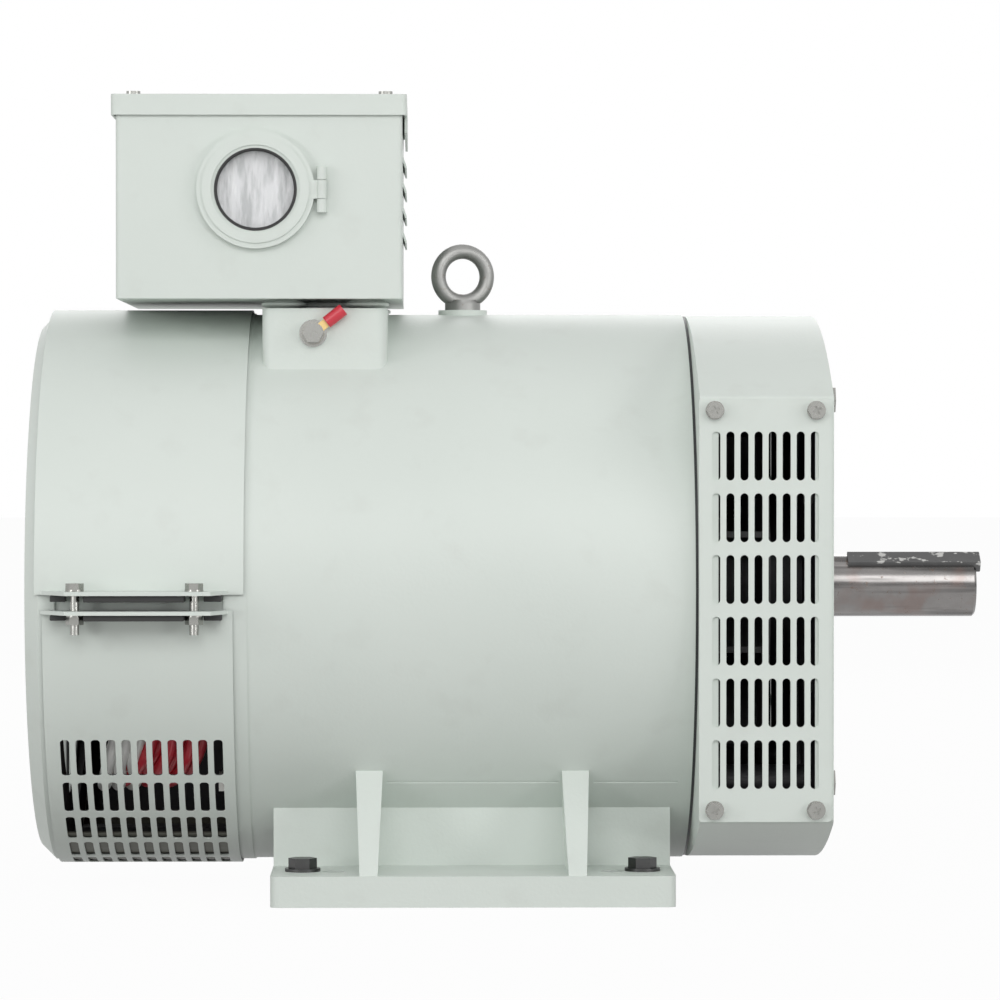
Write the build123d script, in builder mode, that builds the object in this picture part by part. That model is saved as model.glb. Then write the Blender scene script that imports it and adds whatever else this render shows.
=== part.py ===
# Foot-mounted slip-ring generator alternator head, in millimetres.
# +Z is up, +X points to the drive end, z = 0 is the underside of the feet.

import os
from math import cos, radians, sin

from build123d import *

os.makedirs("parts", exist_ok=True)

# Frame, feet and neck
shaft_height = 200.0
frame_radius = 184.0
frame_bore = 170.0
frame_start = -145.0
frame_end = 143.0
foot_length = 260.0
foot_width = 390.0
foot_thickness = 20.0
foot_inner = 90.0
wall_outer = 117.0
wall_inner = 99.0
mount_hole_radius = 7.5
mount_hole_x = 90.0
mount_hole_y = 159.0
jack_bolt_x = 110.0
jack_bolt_y = 156.0
rib_x = 67.0
rib_top = 84.0
neck_center_x = -96.5
neck_size_x = 82.0
neck_size_y = 226.0
neck_top = 385.4
eye_x = -5.0
boss_top = 387.0
tie_radius = 177.0
tie_bolt_radius = 5.0
tie_hole_radius = 5.3
rear_tie_radius = 175.0
rear_tie_bolt_radius = 4.0
rear_tie_hole_radius = 4.4

# Drive-end shield and its grilles
housing_start = 145.0
housing_end = 231.0
housing_half_width = 192.0
housing_crown = 383.0
housing_shoulder = 326.0
housing_skirt = 54.0
housing_keel = 18.0
housing_wall = 8.0
grille_center_x = 187.0
grille_center_z = (housing_shoulder + housing_skirt) / 2
grille_size_x = 85.0
grille_size_z = housing_shoulder - housing_skirt - 1.0
grille_thickness = 2.0
grille_bolt_x = grille_size_x - 20.0
grille_bolt_z = grille_size_z - 15.0
slot_pitch_x = 9.0
slot_pitch_z = 39.5
slot_width = 5.2
slot_length = 31.3

# Non-drive-end shield and the clamped bands
end_face = -288.0
shield_radius = 184.8
band_radius = 187.0
band_sheet = 1.7
upper_band_start = -281.0
upper_band_end = -147.0
lower_band_start = -276.0
lower_band_end = -154.0
flange_x = -216.0
flange_reach = 212.0
flange_sheet = 2.5
upper_flange_z = 200.0
lower_flange_z = 190.0
clamp_bolt_y = flange_reach - 12.0
clamp_bolt_spacing = 76.0
vent_pitch = 9.9
vent_width = 6.0
vent_length = 30.0
vent_row_step = 11.0
wire_radius = 4.5
wire_pitch = 9.02
wire_bend = 158.4

# Shaft and rotor
extension_start = 233.0
extension_end = 343.0
shaft_radius = 21.0
key_width = 12.0
key_height = 8.0
key_depth = 5.0
key_start = 256.0
key_end = 346.0
key_turn = 35.0
center_thread_radius = 7.0
center_thread_length = 36.0
air_gap_radius = 115.5
core_start = -75.0
core_end = 75.0
drive_bearing_start = 201.0
drive_bearing_width = 25.0
rear_bearing_start = -272.0
rear_bearing_width = 23.0
running_gap = 0.02

# Terminal box
box_min_x = -232.5
box_max_x = -45.5
box_half_depth = 125.0
box_floor = 391.4
box_height = 131.6
box_rim = box_floor + box_height
box_sheet = 2.0
lid_overhang = 3.0
lid_sheet = 1.6
window_x = -141.2
window_z = box_floor + box_height * 0.5388
window_outer = 38.5
window_inner = 27.0
hinge_x = -98.0
hinge_y = -130.0

shaft_axis = Axis((0, 0, shaft_height), (1, 0, 0))
profile_plane = Plane(origin=(0, 0, shaft_height), x_dir=(1, 0, 0), z_dir=(0, -1, 0))


def across(x):
    """The plane square to the shaft axis at x, with its own x along +Y."""
    return Plane(origin=(x, 0, shaft_height), x_dir=(0, 1, 0), z_dir=(1, 0, 0))


def outward(angle, distance, x=0.0):
    """The plane facing away from the shaft axis; angle 0 is +Z, positive turns towards -Y."""
    up = (0, -sin(radians(angle)), cos(radians(angle)))
    spot = (x, up[1] * distance, shaft_height + up[2] * distance)
    return Plane(origin=spot, x_dir=(1, 0, 0), z_dir=up)


def front_plane(y, x=0.0, z=0.0):
    """A plane facing -Y, with its own x along +X and its own y along +Z."""
    return Plane(origin=(x, y, z), x_dir=(1, 0, 0), z_dir=(0, -1, 0))


def turned(*outline):
    """Turns an outline of (x, radius) points about the shaft axis."""
    with BuildSketch(profile_plane) as profile:
        with BuildLine():
            Polyline(*outline, close=True)
        make_face()
    revolve(profile.sketch, axis=shaft_axis)


def tube(start, end, inner, outer, mode=Mode.ADD):
    """A ring or rod about the shaft axis."""
    with BuildSketch(across(start)) as ring:
        Circle(outer)
        if inner:
            Circle(inner, mode=Mode.SUBTRACT)
    extrude(ring.sketch, amount=end - start, mode=mode)


def hex_rod(planes, flats, height, mode=Mode.ADD):
    """A hexagon extruded from every plane."""
    for plane in planes:
        with BuildSketch(plane) as hexagon:
            RegularPolygon(flats / 2, 6, major_radius=False)
        extrude(hexagon.sketch, amount=height, mode=mode)


def round_rod(planes, radius, height, mode=Mode.ADD, hole=0.0):
    """A round rod or ring extruded from every plane."""
    for plane in planes:
        with BuildSketch(plane) as disc:
            Circle(radius)
            if hole:
                Circle(hole, mode=Mode.SUBTRACT)
        extrude(disc.sketch, amount=height, mode=mode)


def save(part, name):
    part.label = name
    export_step(part, f"parts/{name}.step")


def axial_planes(x, radius, angles, facing=1):
    """Planes at x on a circle about the shaft axis, facing +X or -X."""
    return [
        Plane(
            origin=(
                x,
                -radius * sin(radians(a)),
                shaft_height + radius * cos(radians(a)),
            ),
            x_dir=(0, facing, 0),
            z_dir=(facing, 0, 0),
        )
        for a in angles
    ]


drive_ties = (45, 135, 225, 315)
rear_ties = (45, 135, 225, 315)
rear_arms = (0, 90, 180, 270)
neck_edge_z = shaft_height + 100

# ---- frame ----

with BuildPart() as frame:
    tube(frame_start, frame_end, 0, frame_radius)
    for side in (-1, 1):
        with BuildSketch(Plane.XY):
            with Locations((0, side * (foot_inner + foot_width / 2) / 2)):
                Rectangle(foot_length, foot_width / 2 - foot_inner)
            fillet(vertices().filter_by(lambda v: abs(v.Y) > 150), 6)
        extrude(amount=foot_thickness)
        with BuildSketch(Plane.XY):
            with Locations((0, side * (wall_inner + wall_outer) / 2)):
                Rectangle(foot_length, wall_outer - wall_inner)
        extrude(amount=90)
        for x in (-rib_x, rib_x):
            with BuildSketch(front_plane(side * 110, x)):
                with BuildLine():
                    Polyline((-5.3, 10), (5.3, 10), (8.8, rib_top), (-8.8, rib_top), close=True)
                make_face()
            extrude(amount=-side * 84)
    for side in (-1, 1):
        with BuildSketch(Plane.YZ.offset(-rib_x - 12)):
            with BuildLine():
                Polyline(
                    (side * 193, foot_thickness),
                    (side * 143, rib_top),
                    (side * 230, rib_top),
                    (side * 230, foot_thickness),
                    close=True,
                )
            make_face()
        extrude(amount=2 * rib_x + 24, mode=Mode.SUBTRACT)
    with BuildSketch(Plane.XY.offset(neck_edge_z)):
        with Locations((neck_center_x, 0)):
            RectangleRounded(neck_size_x, neck_size_y, 8)
    extrude(amount=neck_top - neck_edge_z)
    with BuildSketch(Plane.XY.offset(370)):
        with Locations((eye_x, 0)):
            Circle(16.5)
    extrude(amount=boss_top - 370)
    # The bore and the duct that leads the wires up to the box
    tube(frame_start, frame_end, 0, frame_bore, Mode.SUBTRACT)
    with BuildSketch(Plane.XY.offset(neck_top)):
        with Locations((neck_center_x + 4, 0)):
            Rectangle(neck_size_x - 24, neck_size_y - 20)
    extrude(amount=-9, mode=Mode.SUBTRACT)
    with BuildSketch(Plane.XY.offset(neck_top)):
        with Locations((neck_center_x + 4, 0)):
            Rectangle(50, 80)
    extrude(amount=-60, mode=Mode.SUBTRACT)
    # Holes
    with BuildSketch(Plane.XY):
        with GridLocations(2 * mount_hole_x, 2 * mount_hole_y, 2, 2):
            Circle(mount_hole_radius)
        with GridLocations(2 * jack_bolt_x, 2 * jack_bolt_y, 2, 2):
            Circle(tie_bolt_radius)
    extrude(amount=foot_thickness, mode=Mode.SUBTRACT)
    with BuildSketch(Plane.XY.offset(boss_top)):
        with Locations((eye_x, 0)):
            Circle(5)
    extrude(amount=-14, mode=Mode.SUBTRACT)
    round_rod(axial_planes(frame_end, tie_radius, drive_ties, -1), tie_bolt_radius, 20, Mode.SUBTRACT)
    round_rod(axial_planes(frame_start, rear_tie_radius, rear_ties), rear_tie_bolt_radius, 14, Mode.SUBTRACT)
    round_rod([front_plane(-neck_size_y / 2 - 1, -104, 369)], 4, -13, Mode.SUBTRACT)
    # The mould parting line along both flanks
    for side in (-1, 1):
        for start, length in ((-56, 112), (79, 55)):
            with BuildSketch(Plane.YZ.offset(start)):
                with Locations((side * 137.3, 76)):
                    Rectangle(4, 1.2)
            extrude(amount=length, mode=Mode.SUBTRACT)
save(frame.part, "frame")

# ---- stator ----

with BuildPart() as stator_core:
    with BuildSketch(across(core_start)):
        Circle(frame_bore - running_gap)
        Circle(air_gap_radius, mode=Mode.SUBTRACT)
        with PolarLocations(128, 36):
            Rectangle(26, 8, mode=Mode.SUBTRACT)
    extrude(amount=core_end - core_start)
save(stator_core.part, "stator_core")

with BuildPart() as stator_windings:
    with BuildSketch(across(-84)):
        with PolarLocations(129, 36):
            Rectangle(22, 7.4)
    extrude(amount=168)
    for side in (-1, 1):
        turned(
            (side * 82, 119),
            (side * 116, 122),
            (side * 121, 130),
            (side * 121, 142),
            (side * 114, 150),
            (side * 82, 148),
        )
save(stator_windings.part, "stator_windings")

# ---- drive-end shield ----


def housing_outline(inset):
    """The arched outline of the drive-end housing, drawn about the shaft axis."""
    half = housing_half_width - inset
    crown = housing_crown - inset - shaft_height
    shoulder = housing_shoulder - inset - shaft_height
    skirt = housing_skirt + inset - shaft_height
    keel = housing_keel + inset - shaft_height
    with BuildLine() as arch:
        ThreePointArc((-half, shoulder), (0, crown), (half, shoulder))
        Line((half, shoulder), (half, skirt))
        ThreePointArc((half, skirt), (0, keel), (-half, skirt))
        Line((-half, skirt), (-half, shoulder))
    make_face(arch.edges())


with BuildPart() as de_end_shield:
    with BuildSketch(across(housing_start)):
        housing_outline(0)
        fillet(vertices(), 5)
    extrude(amount=housing_end - housing_start)
    with BuildSketch(across(housing_start + 6)):
        housing_outline(housing_wall)
    extrude(amount=housing_end - housing_start - 16, mode=Mode.SUBTRACT)
    tube(frame_end, housing_start, 0, frame_radius - 1)
    tube(frame_end - 10, frame_end, 160, frame_bore - running_gap)
    tube(frame_end, housing_start + 6, 0, 152, Mode.SUBTRACT)
    tube(197, housing_end, 0, 63)
    round_rod(axial_planes(housing_start, tie_radius, drive_ties), 12, housing_end - housing_start)
    with BuildSketch(across(housing_end - 16)):
        with PolarLocations(110, 8, start_angle=22.5):
            Rectangle(100, 7)
    extrude(amount=8)
    tube(drive_bearing_start, drive_bearing_start + drive_bearing_width, 0, 50 + running_gap, Mode.SUBTRACT)
    tube(190, housing_end + 1, 0, 34, Mode.SUBTRACT)
    round_rod(axial_planes(frame_end, tie_radius, drive_ties), tie_hole_radius, 90, Mode.SUBTRACT)
    round_rod(axial_planes(housing_end, 56, (0, 120, 240), -1), 3, 24, Mode.SUBTRACT)
    for side in (-1, 1):
        with BuildSketch(front_plane(side * (housing_half_width + 1), grille_center_x + 1, grille_center_z)):
            Rectangle(62, 5 * slot_pitch_z + slot_length + 3.2)
        extrude(amount=side * 12, mode=Mode.SUBTRACT)
        with BuildSketch(front_plane(side * (housing_half_width + 1), grille_center_x, grille_center_z)):
            with GridLocations(grille_bolt_x, grille_bolt_z, 2, 2):
                Circle(2.6)
        extrude(amount=side * 12, mode=Mode.SUBTRACT)
save(de_end_shield.part, "de_end_shield")

for side, grille_name in ((-1, "grille_front"), (1, "grille_rear")):
    with BuildPart() as grille:
        with BuildSketch(front_plane(side * housing_half_width, grille_center_x, grille_center_z)):
            RectangleRounded(grille_size_x, grille_size_z, 2)
            with GridLocations(grille_bolt_x, grille_bolt_z, 2, 2):
                Circle(3.1, mode=Mode.SUBTRACT)
            with GridLocations(slot_pitch_x, slot_pitch_z, 8, 6):
                SlotOverall(slot_length, slot_width, rotation=90, mode=Mode.SUBTRACT)
        extrude(amount=-side * grille_thickness)
    save(grille.part, grille_name)


def grille_screw_planes(offset):
    """Eight planes facing out of the two grilles, offset beyond their faces."""
    found = []
    for side in (-1, 1):
        for dx in (-grille_bolt_x / 2, grille_bolt_x / 2):
            for dz in (-grille_bolt_z / 2, grille_bolt_z / 2):
                spot = (
                    grille_center_x + dx,
                    side * (housing_half_width + grille_thickness + offset),
                    grille_center_z + dz,
                )
                found.append(Plane(origin=spot, x_dir=(1, 0, 0), z_dir=(0, side, 0)))
    return found


with BuildPart() as grille_spring_washers:
    round_rod(grille_screw_planes(0), 6, 1.6, hole=3.2)
save(grille_spring_washers.part, "grille_spring_washers")

with BuildPart() as grille_screws:
    hex_rod(grille_screw_planes(1.6), 10, 4.2)
    round_rod(grille_screw_planes(1.6), 2.5, -11)
    for plane in grille_screw_planes(5.8):
        with BuildSketch(plane):
            Rectangle(5.6, 1.4, rotation=25)
            Rectangle(1.4, 5.6, rotation=25)
        extrude(amount=-2, mode=Mode.SUBTRACT)
save(grille_screws.part, "grille_screws")

with BuildPart() as de_tie_bolts:
    hex_rod(axial_planes(housing_end, tie_radius, drive_ties), 16, 6.4)
    round_rod(axial_planes(housing_end, tie_radius, drive_ties), tie_bolt_radius - 0.1, -106)
save(de_tie_bolts.part, "de_tie_bolts")

with BuildPart() as de_bearing_cap:
    turned((housing_end, 24), (238, 24), (238, 60), (235, 63), (housing_end, 63))
    tube(drive_bearing_start + drive_bearing_width + 1, housing_end, 26, 33.5)
    round_rod(axial_planes(housing_end, 56, (0, 120, 240)), 3.2, 8, Mode.SUBTRACT)
save(de_bearing_cap.part, "de_bearing_cap")

with BuildPart() as de_cap_screws:
    hex_rod(axial_planes(238, 56, (0, 120, 240)), 10, 4)
    round_rod(axial_planes(238, 56, (0, 120, 240)), 2.9, -24)
save(de_cap_screws.part, "de_cap_screws")

# ---- non-drive-end shield ----

with BuildPart() as nde_end_shield:
    turned(
        (end_face, 148),
        (end_face, shield_radius - 9),
        (end_face + 9, shield_radius),
        (-268, shield_radius),
        (-268, 148),
    )
    tube(-282, -273, 0, 150)
    tube(-282, -247, 0, 58)
    tube(-160, frame_start, 160, shield_radius)
    tube(frame_start, frame_start + 8, 160, frame_bore - running_gap)
    for angle in rear_arms:
        with BuildSketch(outward(angle, 163, -214)):
            Rectangle(120, 30)
        extrude(amount=20)
    with BuildSketch(across(-290)):
        Circle(142)
        Circle(68, mode=Mode.SUBTRACT)
        with PolarLocations(105, 8):
            Rectangle(90, 14, mode=Mode.SUBTRACT)
    extrude(amount=30, mode=Mode.SUBTRACT)
    tube(rear_bearing_start, rear_bearing_start + rear_bearing_width, 0, 45 + running_gap, Mode.SUBTRACT)
    tube(-283, -246, 0, 32, Mode.SUBTRACT)
    round_rod(axial_planes(-161, rear_tie_radius, rear_ties), rear_tie_hole_radius, 17, Mode.SUBTRACT)
    round_rod(axial_planes(-282, 51, (60, 180, 300)), 2.6, 9, Mode.SUBTRACT)
    # The pad that carries the brush gear
    with BuildSketch(Plane.XY.offset(275)):
        with Locations((-272, 0)):
            Rectangle(8, 36)
    extrude(amount=22)
save(nde_end_shield.part, "nde_end_shield")

with BuildPart() as nde_tie_bolts:
    hex_rod(axial_planes(-160, rear_tie_radius, rear_ties, -1), 13, 5.3)
    round_rod(axial_planes(-160, rear_tie_radius, rear_ties), rear_tie_bolt_radius - 0.1, 28)
save(nde_tie_bolts.part, "nde_tie_bolts")

with BuildPart() as nde_bearing_cap:
    tube(-286, -282, 0, 56)
    round_rod(axial_planes(-287, 51, (60, 180, 300)), 3.2, 8, Mode.SUBTRACT)
save(nde_bearing_cap.part, "nde_bearing_cap")

with BuildPart() as nde_cap_screws:
    round_rod(axial_planes(-286, 51, (60, 180, 300), -1), 5, 1.9)
    round_rod(axial_planes(-286, 51, (60, 180, 300)), 2.5, 12)
save(nde_cap_screws.part, "nde_cap_screws")

# ---- bands round the non-drive-end shield ----


def clamp_flange(side, z, direction):
    """An out-turned flange plate; direction +1 builds it upwards from z."""
    inner = side * (band_radius - 1.1)
    outer = side * flange_reach
    with BuildSketch(Plane.XY.offset(z)) as plate:
        with BuildLine():
            Polyline(
                (flange_x - 61, inner),
                (flange_x - 44, outer),
                (flange_x + 49, outer),
                (flange_x + 59, inner),
                close=True,
            )
        make_face()
        with Locations((flange_x, side * clamp_bolt_y)):
            with GridLocations(clamp_bolt_spacing, 1, 2, 1):
                Circle(3.2, mode=Mode.SUBTRACT)
    extrude(plate.sketch, amount=direction * flange_sheet)


with BuildPart() as upper_band:
    with BuildSketch(across(upper_band_start)):
        Circle(band_radius)
        Circle(band_radius - band_sheet, mode=Mode.SUBTRACT)
        with Locations((0, upper_flange_z - shaft_height)):
            Rectangle(500, 300, align=(Align.CENTER, Align.MAX), mode=Mode.SUBTRACT)
    extrude(amount=upper_band_end - upper_band_start)
    for side in (-1, 1):
        clamp_flange(side, upper_flange_z, 1)
save(upper_band.part, "upper_band")

with BuildPart() as lower_band:
    with BuildSketch(across(lower_band_start)):
        Circle(band_radius)
        Circle(band_radius - band_sheet, mode=Mode.SUBTRACT)
        with Locations((0, lower_flange_z - shaft_height)):
            Rectangle(500, 300, align=(Align.CENTER, Align.MIN), mode=Mode.SUBTRACT)
    extrude(amount=lower_band_end - lower_band_start)
    for side in (-1, 1):
        clamp_flange(side, lower_flange_z, -1)
    # Seven rows of cooling slots, down the front flank and under the belly
    for row in range(7):
        with BuildSketch(outward(125 + row * vent_row_step, 170, flange_x + 2)):
            with GridLocations(vent_pitch, 1, 11, 1):
                RectangleRounded(vent_width, vent_length, 2.4)
        extrude(amount=30, mode=Mode.SUBTRACT)
save(lower_band.part, "lower_band")


def clamp_planes(z, facing):
    """Planes at the four clamp bolts, facing up or down."""
    return [
        Plane(origin=(flange_x + dx, side * clamp_bolt_y, z), x_dir=(1, 0, 0), z_dir=(0, 0, facing))
        for side in (-1, 1)
        for dx in (-clamp_bolt_spacing / 2, clamp_bolt_spacing / 2)
    ]


upper_seat = upper_flange_z + flange_sheet
lower_seat = lower_flange_z - flange_sheet
with BuildPart() as clamp_washers:
    round_rod(clamp_planes(upper_seat, 1), 6, 1.2, hole=3.1)
    round_rod(clamp_planes(lower_seat, -1), 6, 1.2, hole=3.1)
save(clamp_washers.part, "clamp_washers")

with BuildPart() as clamp_bolts:
    hex_rod(clamp_planes(upper_seat + 1.2, 1), 10, 4)
    round_rod(clamp_planes(upper_seat + 1.2, -1), 2.9, 29)
save(clamp_bolts.part, "clamp_bolts")

with BuildPart() as clamp_nuts:
    hex_rod(clamp_planes(lower_seat - 1.2, -1), 10, 5)
    round_rod(clamp_planes(lower_seat - 1.2, -1), 3, 5, Mode.SUBTRACT)
save(clamp_nuts.part, "clamp_nuts")

# ---- bearings ----


def outer_race(start, width, bore_side, outer):
    """A sealed bearing's outer ring with its two seal plates."""
    turned(
        (start, outer),
        (start + width, outer),
        (start + width, bore_side),
        (start + width - 2, bore_side),
        (start + width - 2, outer - 9),
        (start + 2, outer - 9),
        (start + 2, bore_side),
        (start, bore_side),
    )


with BuildPart() as de_bearing_outer:
    outer_race(drive_bearing_start, drive_bearing_width, 30.5, 50)
save(de_bearing_outer.part, "de_bearing_outer")

with BuildPart() as nde_bearing_outer:
    outer_race(rear_bearing_start, rear_bearing_width, 27.5, 45)
save(nde_bearing_outer.part, "nde_bearing_outer")

with BuildPart() as de_bearing_inner:
    tube(drive_bearing_start, drive_bearing_start + drive_bearing_width, 22.5 + running_gap, 30.2)
save(de_bearing_inner.part, "de_bearing_inner")

with BuildPart() as nde_bearing_inner:
    tube(rear_bearing_start, rear_bearing_start + rear_bearing_width, 20 + running_gap, 27.2)
save(nde_bearing_inner.part, "nde_bearing_inner")

# ---- rotor ----

key_plane = outward(key_turn, shaft_radius - key_depth, (key_start + key_end) / 2)
with BuildPart() as shaft:
    turned(
        (-276, 0),
        (-276, 19),
        (-275, 20),
        (-249, 20),
        (-249, 24),
        (-236, 24),
        (-236, 21),
        (-186, 21),
        (-186, 27),
        (-80, 27),
        (-80, 30),
        (80, 30),
        (80, 28.5),
        (160, 28.5),
        (160, 27),
        (drive_bearing_start, 27),
        (drive_bearing_start, 22.5),
        (extension_start, 22.5),
        (extension_start, shaft_radius),
        (extension_end - 1.6, shaft_radius),
        (extension_end, shaft_radius - 1.6),
        (extension_end, 0),
    )
    with BuildSketch(key_plane):
        Rectangle(key_end - key_start, key_width)
    extrude(amount=key_height, mode=Mode.SUBTRACT)
    tube(extension_end - center_thread_length - 1.5, extension_end, 0, center_thread_radius, Mode.SUBTRACT)
    with BuildSketch(profile_plane):
        with BuildLine():
            Polyline((extension_end - 1.5, 0), (extension_end - 1.5, 7), (extension_end, 9), (extension_end, 0), close=True)
        make_face()
    revolve(axis=shaft_axis, mode=Mode.SUBTRACT)
save(shaft.part, "shaft")

with BuildPart() as shaft_key:
    with BuildSketch(key_plane):
        Rectangle(key_end - key_start, key_width)
    extrude(amount=key_height)
    chamfer(faces().sort_by(Axis.X)[-1].edges(), 0.5)
save(shaft_key.part, "shaft_key")

with BuildPart() as rotor_core:
    with BuildSketch(across(core_start)):
        Circle(air_gap_radius - 2)
        Circle(98, mode=Mode.SUBTRACT)
        with PolarLocations(106, 4, start_angle=45):
            Rectangle(40, 34, mode=Mode.SUBTRACT)
        Circle(56)
        with PolarLocations(78, 4):
            Rectangle(60, 46)
        Circle(30 + running_gap, mode=Mode.SUBTRACT)
    extrude(amount=core_end - core_start)
save(rotor_core.part, "rotor_core")

with BuildPart() as field_coils:
    for angle in (0, 90, 180, 270):
        with BuildSketch(outward(angle, 60)):
            RectangleRounded(184, 80, 8)
            Rectangle(150.6, 46.6, mode=Mode.SUBTRACT)
        extrude(amount=28)
save(field_coils.part, "field_coils")

with BuildPart() as fan:
    tube(160, 194, 27 + running_gap, 46)
    tube(190, 194, 40, 145)
    with BuildSketch(across(160)):
        with PolarLocations(116, 12, start_angle=15):
            Rectangle(58, 4)
    extrude(amount=31)
save(fan.part, "fan")

with BuildPart() as slip_ring_bush:
    turned(
        (-235, 21 + running_gap),
        (-235, 38),
        (-231, 38),
        (-231, 31),
        (-217, 31),
        (-217, 37),
        (-209, 37),
        (-209, 31),
        (-195, 31),
        (-195, 38),
        (-191, 38),
        (-191, 21 + running_gap),
    )
save(slip_ring_bush.part, "slip_ring_bush")

with BuildPart() as slip_rings:
    tube(-231, -217, 31, 40)
    tube(-209, -195, 31, 40)
save(slip_rings.part, "slip_rings")

# ---- brush gear ----

brush_x = (-224.0, -202.0)
with BuildPart() as brush_holder:
    with BuildSketch(Plane.XY.offset(282)):
        with Locations((-229, 0)):
            Rectangle(78, 34)
    extrude(amount=8)
    with BuildSketch(Plane.XY.offset(250)):
        for x in brush_x:
            with Locations((x, 0)):
                Rectangle(17, 26)
    extrude(amount=40)
    with BuildSketch(Plane.XY.offset(249)):
        for x in brush_x:
            with Locations((x, 0)):
                Rectangle(10.6, 16.6)
    extrude(amount=42, mode=Mode.SUBTRACT)
save(brush_holder.part, "brush_holder")

for number, x in enumerate(brush_x, 1):
    with BuildPart() as brush:
        with BuildSketch(Plane.XY.offset(238)):
            with Locations((x, 0)):
                Rectangle(10, 16)
        extrude(amount=30)
        tube(x - 8, x + 8, 0, 40.3, Mode.SUBTRACT)
    save(brush.part, f"brush_{number}")

with BuildPart() as brush_caps:
    with BuildSketch(Plane.XY.offset(290)):
        for x in brush_x:
            with Locations((x, 0)):
                Rectangle(17, 24)
    extrude(amount=3)
    with BuildSketch(Plane.XY.offset(290)):
        for x in brush_x:
            with Locations((x, 0)):
                Circle(3.6)
                Circle(2.2, mode=Mode.SUBTRACT)
    extrude(amount=-15)
save(brush_caps.part, "brush_caps")

# ---- wires seen through the slots ----


def wire_arc(x, radius, thickness, start, sweep):
    """A wire bent round the shaft axis, from an angle below the front horizontal."""
    across_wire = (0, sin(radians(start)), -cos(radians(start)))
    with BuildSketch(Plane(origin=(0, 0, shaft_height), x_dir=(1, 0, 0), z_dir=across_wire)) as wire:
        with Locations((x, radius)):
            Circle(thickness)
    revolve(wire.sketch, axis=shaft_axis, revolution_arc=sweep)


with BuildPart() as red_leads:
    for count in range(5):
        wire_arc(-164.55 - count * wire_pitch, wire_bend, wire_radius, -24, 73)
save(red_leads.part, "red_leads")

with BuildPart() as white_leads:
    for count in range(5, 8):
        wire_arc(-164.55 - count * wire_pitch, wire_bend, wire_radius, -24, 70)
save(white_leads.part, "white_leads")

# ---- feet hardware, lifting eye and earth stud ----

jack_spots = [
    Plane(origin=(sx * jack_bolt_x, sy * jack_bolt_y, foot_thickness))
    for sx in (-1, 1)
    for sy in (-1, 1)
]
with BuildPart() as jack_washers:
    round_rod(jack_spots, 11.5, 2, hole=5.2)
save(jack_washers.part, "jack_washers")

with BuildPart() as jack_bolts:
    hex_rod([spot.offset(2) for spot in jack_spots], 16, 6.6)
    round_rod([spot.offset(2) for spot in jack_spots], tie_bolt_radius - 0.1, -20)
save(jack_bolts.part, "jack_bolts")

eye_plane = Plane(origin=(eye_x, 0, 410), x_dir=(0, 0, 1), z_dir=(sin(radians(15)), -cos(radians(15)), 0))
with BuildPart() as lifting_eye:
    with Locations(eye_plane.location):
        Torus(17, 5)
    with BuildSketch(Plane.XY.offset(boss_top)):
        with Locations((eye_x, 0)):
            Circle(12)
    extrude(amount=5)
    with BuildSketch(Plane.XY.offset(boss_top + 5)):
        with Locations((eye_x, 0)):
            Circle(10)
    extrude(amount=2.2, taper=20)
    with BuildSketch(Plane.XY.offset(boss_top)):
        with Locations((eye_x, 0)):
            Circle(4.9)
    extrude(amount=-12)
save(lifting_eye.part, "lifting_eye")

earth_face = -neck_size_y / 2


def earth_plane(out):
    """A plane on the earth screw's axis, this far out of the neck's front wall."""
    return front_plane(earth_face - out, -104, 369)


with BuildPart() as earth_washers:
    round_rod([earth_plane(0)], 9, 1.4, hole=4.1)
    round_rod([earth_plane(2.6)], 7, 1.6, hole=4.1)
save(earth_washers.part, "earth_washers")

with BuildPart() as earth_lug:
    with BuildSketch(earth_plane(1.4)):
        Circle(7)
        with Locations(Location((7 * cos(radians(38)), 7 * sin(radians(38)), 0), (0, 0, 38))):
            Rectangle(8, 6)
        Circle(4.1, mode=Mode.SUBTRACT)
    extrude(amount=1.2)
save(earth_lug.part, "earth_lug")

with BuildPart() as earth_sleeve:
    direction = (cos(radians(38)), 0, sin(radians(38)))
    spot = (-104 + 11.2 * direction[0], earth_face - 5, 369 + 11.2 * direction[2])
    with BuildSketch(Plane(origin=spot, x_dir=(0, 1, 0), z_dir=direction)):
        Ellipse(3.6, 4.2)
    extrude(amount=14)
save(earth_sleeve.part, "earth_sleeve")

with BuildPart() as earth_screw:
    hex_rod([earth_plane(4.2)], 12, 5)
    round_rod([earth_plane(4.2)], 3.9, -15)
save(earth_screw.part, "earth_screw")

# ---- terminal box ----

box_center_x = (box_min_x + box_max_x) / 2
box_size_x = box_max_x - box_min_x
lug_spots = [(neck_center_x + sx * 27.5, sy * 90) for sx in (-1, 1) for sy in (-1, 1)]

with BuildPart() as box_pads:
    for x, y in lug_spots:
        with BuildSketch(Plane(origin=(x, y, neck_top), x_dir=(1, 0, 0), z_dir=(0, -1, 0))):
            with BuildLine():
                Polyline((0, 0), (10, 0), (14.5, 2.2), (14.5, 3.8), (10, 6), (0, 6), close=True)
            make_face()
        revolve(axis=Axis((x, y, 0), (0, 0, 1)))
save(box_pads.part, "box_pads")

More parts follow.
